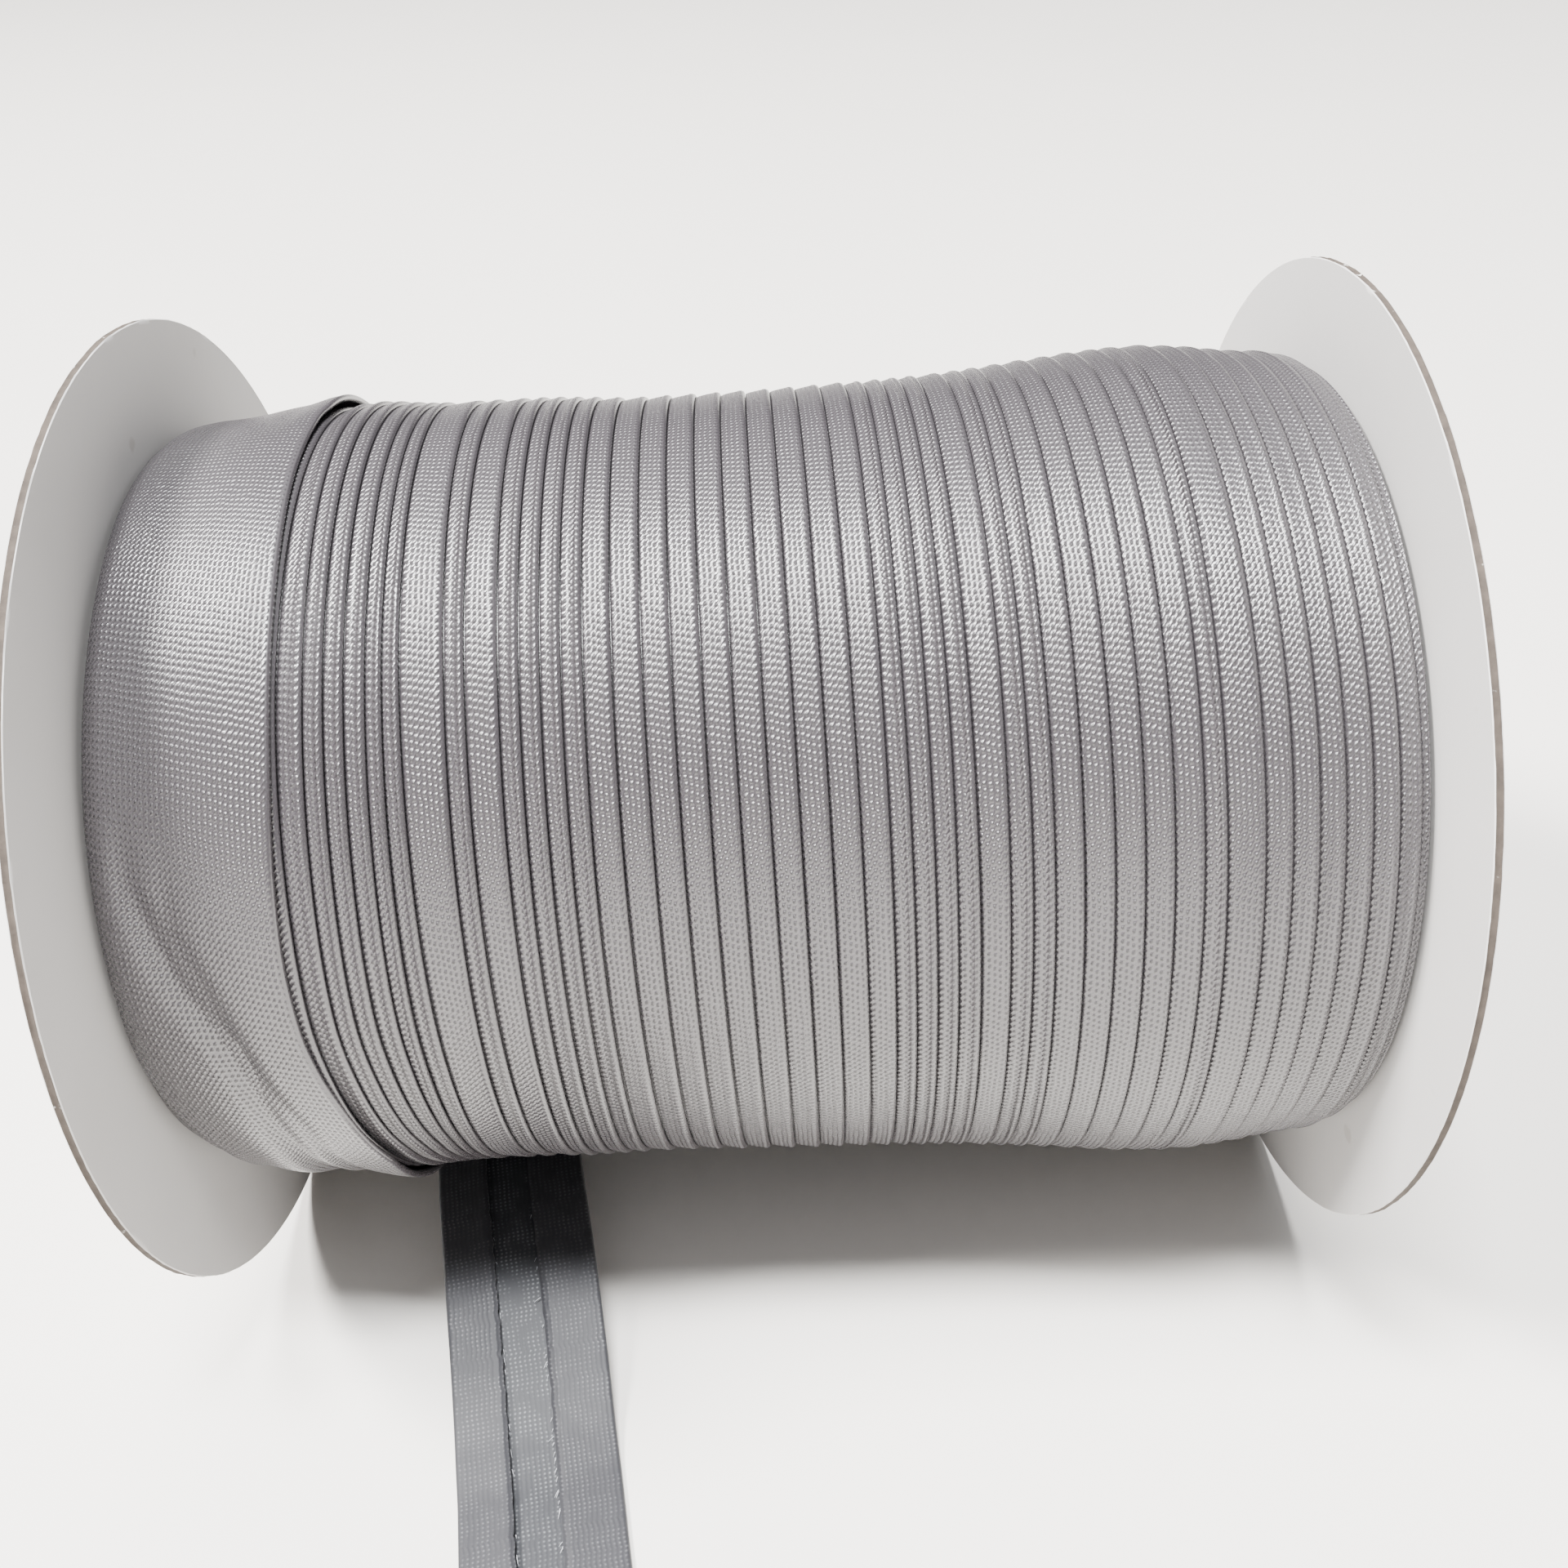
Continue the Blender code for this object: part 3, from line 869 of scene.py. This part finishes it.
def satin_material(pale, dark):
    """Silver grey bias satin, right side: three pale tones of its strands, the dark of its pits, and painted
    shade in the crevices under its fold edges.
    """
    nodes = Nodes("satin_right_side")
    uv, pit, groove, slope = weave(nodes, 0.5)
    place = nodes.place()
    tone = nodes.noise(place, 60.0, 4.0)
    thread = nodes.noise(uv, 2.6, 2.0)
    light = nodes.mix(tone, pale[0], pale[1])
    light = nodes.mix(nodes.math("MULTIPLY", thread, 0.25), light, pale[2])
    colour = nodes.mix(nodes.math("MULTIPLY", pit, 0.85), light, dark)
    colour = nodes.mix(nodes.math("MULTIPLY", groove, 0.38), colour, dark)
    # Painted shade: near black mixed in, by the painted shade numbers, where each strip runs into the
    # crevice under its neighbour's fold
    colour = nodes.mix(nodes.attribute("shade"), colour, PAINTED_CREVICE_SHADE)
    nodes.link(colour, nodes.shader.inputs["Base Color"])
    height = nodes.math("SUBTRACT", 1.0, nodes.math("MULTIPLY", pit, 0.55))
    height = nodes.math("SUBTRACT", height, nodes.math("MULTIPLY", groove, 0.40))
    height = nodes.math("SUBTRACT", height, nodes.math("MULTIPLY", slope, 0.50))
    height = nodes.math("ADD", height, nodes.math("MULTIPLY", thread, 0.15))
    nodes.link(nodes.bump(height, 0.00013, 1.0), nodes.shader.inputs["Normal"])
    nodes.link(nodes.math("MULTIPLY_ADD", pit, 0.35, 0.27), nodes.shader.inputs["Roughness"])
    nodes.shader.inputs["IOR"].default_value = 1.6
    nodes.shader.inputs["Specular IOR Level"].default_value = 0.85
    return nodes.material


# Pitch of the ribs across the loose end, and of the floats along each rib, in millimetres
RIB_PITCH = 0.63
FLOAT_PITCH = 0.58


def ribbed_material(name, low, high, pale, share):
    """Duller satin of the loose end: fine lengthwise ribs, with painted glints on small floats along them.
    """
    nodes = Nodes(name)
    uv, along, across = nodes.tape()
    turn = 2 * math.pi
    across_wave = nodes.math("COSINE", nodes.math("MULTIPLY", across, turn / RIB_PITCH))
    rib = nodes.math("MULTIPLY_ADD", across_wave, 0.5, 0.5)
    along_wave = nodes.math("COSINE", nodes.math("MULTIPLY", along, turn / FLOAT_PITCH))
    glint_spot = nodes.math("MULTIPLY", rib, nodes.math("MULTIPLY_ADD", along_wave, 0.5, 0.5))
    glint_spot = nodes.math("POWER", glint_spot, 2.0)
    glint_spot = nodes.math("MULTIPLY", glint_spot, nodes.ramp(nodes.noise(uv, 0.35, 3.0), 0.35, 0.65))
    colour = nodes.mix(nodes.noise(nodes.place(), 90.0, 4.0), low, high)
    # Painted glints: the pale colour mixed in on the float spots
    colour = nodes.mix(nodes.math("MULTIPLY", glint_spot, share), colour, pale)
    nodes.link(colour, nodes.shader.inputs["Base Color"])
    height = nodes.math("ADD", nodes.math("MULTIPLY", rib, 0.5), nodes.math("MULTIPLY", glint_spot, 0.5))
    nodes.link(nodes.bump(height, 0.00006, 0.8), nodes.shader.inputs["Normal"])
    nodes.link(nodes.math("MULTIPLY_ADD", glint_spot, -0.2, 0.62), nodes.shader.inputs["Roughness"])
    nodes.shader.inputs["Sheen Weight"].default_value = 0.1
    return nodes.material


def fray_material():
    """Pale stray thread."""
    nodes = Nodes("stray_thread")
    tone = nodes.noise(nodes.place(), 900.0, 2.0)
    colour = nodes.mix(tone, (0.16, 0.16, 0.18, 1.0), (0.42, 0.42, 0.44, 1.0))
    nodes.link(colour, nodes.shader.inputs["Base Color"])
    nodes.shader.inputs["Roughness"].default_value = 0.6
    return nodes.material


def paper_material():
    """Matte white paper face of the chipboard, faintly mottled, with a few small scuffs."""
    nodes = Nodes("paper_face")
    place = nodes.place()
    mottle = nodes.noise(place, 45.0, 5.0)
    fibre = nodes.noise(place, 1400.0, 3.0)
    scuff = nodes.ramp(nodes.noise(place, 210.0, 2.0, 0.3), 0.735, 0.80)
    colour = nodes.mix(mottle, (0.52, 0.505, 0.49, 1.0), (0.59, 0.575, 0.565, 1.0))
    colour = nodes.mix(nodes.math("MULTIPLY", fibre, 0.12), colour, (0.60, 0.585, 0.56, 1.0))
    colour = nodes.mix(nodes.math("MULTIPLY", scuff, 0.45), colour, (0.36, 0.33, 0.30, 1.0))
    nodes.link(colour, nodes.shader.inputs["Base Color"])
    nodes.link(nodes.bump(nodes.math("ADD", fibre, mottle), 0.00003, 0.5), nodes.shader.inputs["Normal"])
    nodes.shader.inputs["Roughness"].default_value = 0.72
    nodes.shader.inputs["Specular IOR Level"].default_value = 0.35
    return nodes.material


def cut_edge_material():
    """Brown grey cut edge of the chipboard, with torn white paper fibres."""
    nodes = Nodes("cut_edge")
    place = nodes.place()
    grain = nodes.noise(place, 700.0, 4.0)
    torn = nodes.ramp(nodes.noise(place, 420.0, 3.0), 0.66, 0.72)
    colour = nodes.mix(grain, (0.025, 0.019, 0.015, 1.0), (0.10, 0.078, 0.062, 1.0))
    colour = nodes.mix(nodes.math("MULTIPLY", torn, 0.8), colour, (0.72, 0.70, 0.66, 1.0))
    nodes.link(colour, nodes.shader.inputs["Base Color"])
    nodes.link(nodes.bump(grain, 0.00015, 1.0), nodes.shader.inputs["Normal"])
    nodes.shader.inputs["Roughness"].default_value = 0.9
    return nodes.material


def tube_material():
    """Grey brown board of the tube, wound on a slant."""
    nodes = Nodes("tube_board")
    place = nodes.place()
    grain = nodes.noise(place, 300.0, 4.0)
    wave = nodes.add("ShaderNodeTexWave")
    wave.inputs["Scale"].default_value = 14.0
    wave.inputs["Distortion"].default_value = 0.4
    nodes.link(place, wave.inputs["Vector"])
    seam = nodes.ramp(wave.outputs["Fac"], 0.96, 1.0)
    colour = nodes.mix(grain, (0.30, 0.25, 0.20, 1.0), (0.46, 0.40, 0.33, 1.0))
    colour = nodes.mix(nodes.math("MULTIPLY", seam, 0.6), colour, (0.12, 0.10, 0.08, 1.0))
    nodes.link(colour, nodes.shader.inputs["Base Color"])
    nodes.link(nodes.bump(grain, 0.0001, 0.6), nodes.shader.inputs["Normal"])
    nodes.shader.inputs["Roughness"].default_value = 0.85
    return nodes.material


def floor_material():
    """Plain pale surface."""
    nodes = Nodes("floor_surface")
    tone = nodes.noise(nodes.place(), 6.0, 3.0)
    colour = nodes.mix(tone, (0.73, 0.70, 0.66, 1.0), (0.76, 0.73, 0.69, 1.0))
    nodes.link(colour, nodes.shader.inputs["Base Color"])
    nodes.shader.inputs["Roughness"].default_value = 0.6
    nodes.shader.inputs["Specular IOR Level"].default_value = 0.3
    return nodes.material


satin = satin_material(
    [(0.036, 0.030, 0.034, 1.0), (0.047, 0.041, 0.045, 1.0), (0.120, 0.118, 0.126, 1.0)],
    (0.006, 0.004, 0.006, 1.0),
)
# Loose end: two dark tones of each side, the pale of its painted glints, and how much of that shows
flap_satin = ribbed_material(
    "satin_flap", (0.017, 0.017, 0.021, 1.0), (0.024, 0.024, 0.028, 1.0), (0.15, 0.15, 0.16, 1.0), 0.50
)
wrong_side = ribbed_material(
    "satin_wrong_side", (0.016, 0.017, 0.021, 1.0), (0.024, 0.025, 0.029, 1.0), (0.21, 0.22, 0.23, 1.0), 0.60
)
stray_thread = fray_material()
paper = paper_material()
cut_edge = cut_edge_material()
board = tube_material()

wound_tape = make_wound_tape([satin])
last_wrap = make_last_wrap([satin])
loose_end, loose_length = make_loose_end([flap_satin, wrong_side])
fray = make_fray([stray_thread])
card_left = make_card("card_left", -1, [paper, cut_edge])
card_right = make_card("card_right", 1, [paper, cut_edge])
tube = make_tube([board])

for piece in (wound_tape, last_wrap, loose_end, fray, card_left, card_right, tube):
    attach(piece, "root")
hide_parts("winding")
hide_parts("tail")
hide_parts("flange_left")
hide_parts("flange_right")

# Floor
bpy.ops.mesh.primitive_plane_add(size=8.0, location=(0, 1.5, 0))
floor = bpy.context.object
floor.name = "floor"
floor.data.materials.append(floor_material())


def add_light(name, location, target, size, power, colour):
    """Soft light, wide and deep, that faces a point."""
    data = bpy.data.lights.new(name, "AREA")
    data.shape = "RECTANGLE"
    data.size, data.size_y = size
    data.energy = power
    data.color = colour
    light = bpy.data.objects.new(name, data)
    bpy.context.scene.collection.objects.link(light)
    light.location = location
    light.rotation_mode = "QUATERNION"
    light.rotation_quaternion = (Vector(target) - Vector(location)).to_track_quat("-Z", "Y")
    return light


# Lights: a soft window at the left, a strip almost overhead, and pale light from all round
add_light("window", (-1.40, -0.22, 1.95), (0, 0, 0.05), (0.80, 0.45), 200.0, (1.0, 0.985, 0.965))
add_light("overhead", (-0.10, -0.43, 2.05), (0, 0, 0.05), (0.80, 0.32), 165.0, (0.98, 0.99, 1.0))


def make_room(low, high):
    """Pale light from all round, weak at the horizon and strong overhead."""
    world = bpy.data.worlds.new("room")
    world.use_nodes = True
    tree = world.node_tree
    place = tree.nodes.new("ShaderNodeTexCoord")
    split = tree.nodes.new("ShaderNodeSeparateXYZ")
    rise = tree.nodes.new("ShaderNodeMapRange")
    rise.interpolation_type = "SMOOTHSTEP"
    rise.inputs["From Min"].default_value = 0.15
    rise.inputs["From Max"].default_value = 0.95
    rise.inputs["To Min"].default_value = low
    rise.inputs["To Max"].default_value = high
    back = tree.nodes["Background"]
    back.inputs["Color"].default_value = (0.97, 0.98, 1.0, 1.0)
    tree.links.new(place.outputs["Generated"], split.inputs[0])
    tree.links.new(split.outputs["Z"], rise.inputs["Value"])
    tree.links.new(rise.outputs["Result"], back.inputs["Strength"])
    bpy.context.scene.world = world


make_room(0.05, 0.95)

# Camera: its place in metres, how far it looks down and how far it leans, in degrees
CAMERA_PLACE = Vector((0.00329, -0.16238, 0.18050))
CAMERA_DOWN = 35.0
CAMERA_LEAN = 3.0653
down = math.radians(CAMERA_DOWN)
slant = math.radians(CAMERA_LEAN)
level_up = Vector((0.0, math.sin(down), math.cos(down)))
level_right = Vector((1.0, 0.0, 0.0))
camera_ahead = Vector((0.0, math.cos(down), -math.sin(down)))
camera_right = level_right * math.cos(slant) - level_up * math.sin(slant)
camera_up = level_right * math.sin(slant) + level_up * math.cos(slant)
camera_data = bpy.data.cameras.new("camera")
camera_data.sensor_width = 36.0
camera_data.lens = 35.72
camera_data.clip_start = 0.01
camera_data.clip_end = 20.0
camera = bpy.data.objects.new("camera", camera_data)
bpy.context.scene.collection.objects.link(camera)
turned = Matrix((camera_right, camera_up, -camera_ahead)).transposed().to_4x4()
camera.matrix_world = Matrix.Translation(CAMERA_PLACE) @ turned
bpy.context.scene.camera = camera

bpy.context.view_layer.update()
